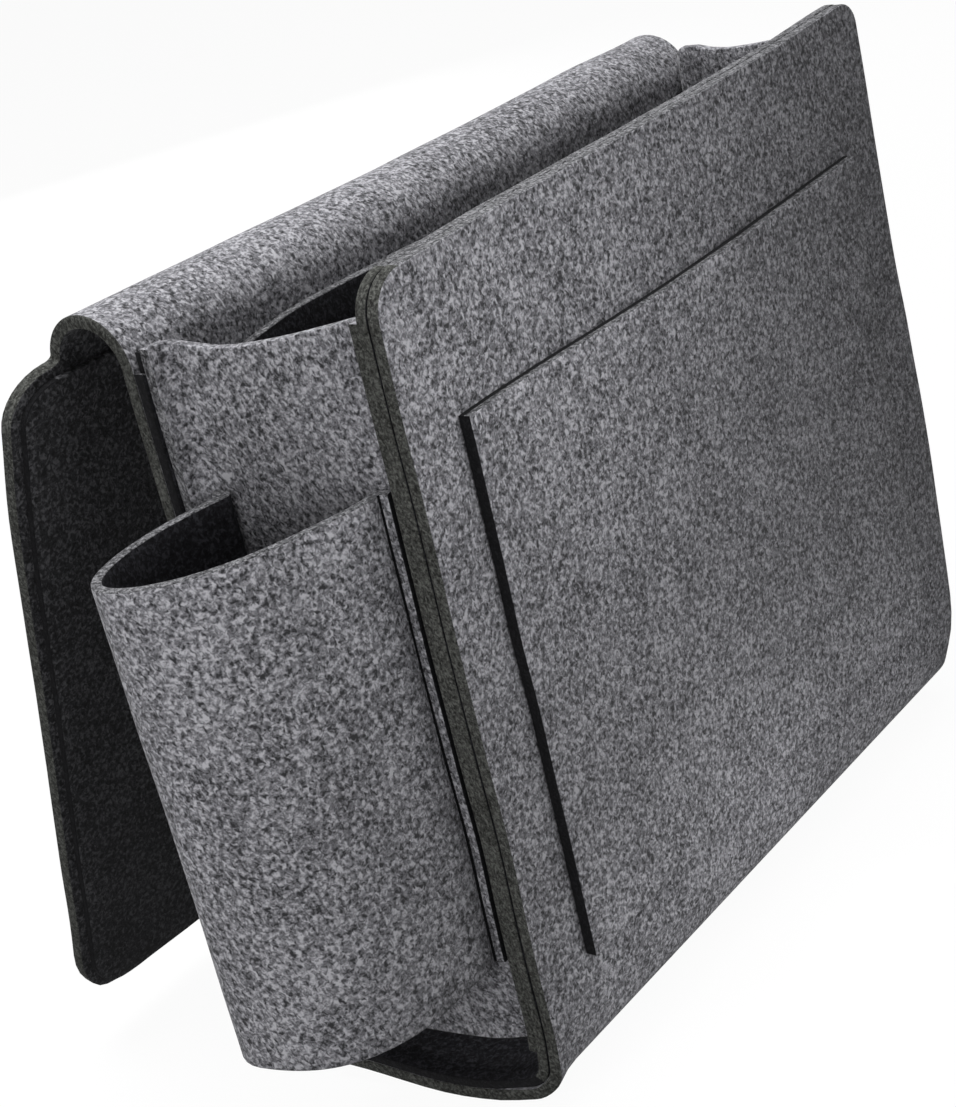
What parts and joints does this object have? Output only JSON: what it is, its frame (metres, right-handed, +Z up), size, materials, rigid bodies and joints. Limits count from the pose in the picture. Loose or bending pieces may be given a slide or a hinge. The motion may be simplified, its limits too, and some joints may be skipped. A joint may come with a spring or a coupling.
{
  "type": "bedside caddy",
  "caption": "Felt bedside caddy: an open box pocket with a flat front pocket and a side bottle sleeve, hung beside a mattress by a wide flap that bends over a rounded bridge.",
  "frame": {"origin": "on the floor, under the middle of the pocket's bottom, halfway between the outer faces of the front panel and the back wall", "axes": "+Z up, +X along the front panel away from the bottle sleeve, +Y from the front panel to the back wall and the flap"},
  "size_m": [0.362, 0.1853, 0.266],
  "materials": {
    "felt_grey": "matt heathered grey felt",
    "felt_charcoal": "matt charcoal felt"
  },
  "bodies": {
    "pocket": {"body_sheet": "felt_grey", "body_lining": "felt_charcoal", "left_gusset": "felt_grey", "right_gusset": "felt_grey", "front_pocket": "felt_grey", "bottle_sleeve": "felt_grey", "bottle_base": "felt_charcoal"},
    "bridge_front": {"bridge_1": "felt_grey"},
    "bridge_middle": {"bridge_2": "felt_grey"},
    "bridge_back": {"bridge_3": "felt_grey"},
    "flap": {"flap": "felt_grey", "flap_lining": "felt_charcoal"}
  },
  "joints": [
    {"name": "wall_fold", "type": "hinge", "parent": "pocket", "child": "bridge_front", "pos_m": [0, 0.041, 0.244], "axis": [1, 0, 0], "range_deg": [-2.58, 27.41], "stiffness_Nm_per_rad": 2, "springref_deg": 2.29},
    {"name": "front_fold", "type": "hinge", "parent": "bridge_front", "child": "bridge_middle", "pos_m": [0, 0.04715, 0.25585], "axis": [1, 0, 0], "range_deg": [-5.16, 54.83], "stiffness_Nm_per_rad": 2, "springref_deg": 2.02},
    {"name": "back_fold", "type": "hinge", "parent": "bridge_middle", "child": "bridge_back", "pos_m": [0, 0.06038, 0.25765], "axis": [1, 0, 0], "range_deg": [-5.16, 54.83], "stiffness_Nm_per_rad": 2, "springref_deg": 1.52},
    {"name": "flap_fold", "type": "hinge", "parent": "bridge_back", "child": "flap", "pos_m": [0, 0.06947, 0.24788], "axis": [1, 0, 0], "range_deg": [-2.58, 27.41], "stiffness_Nm_per_rad": 2, "springref_deg": 1.18}
  ]
}
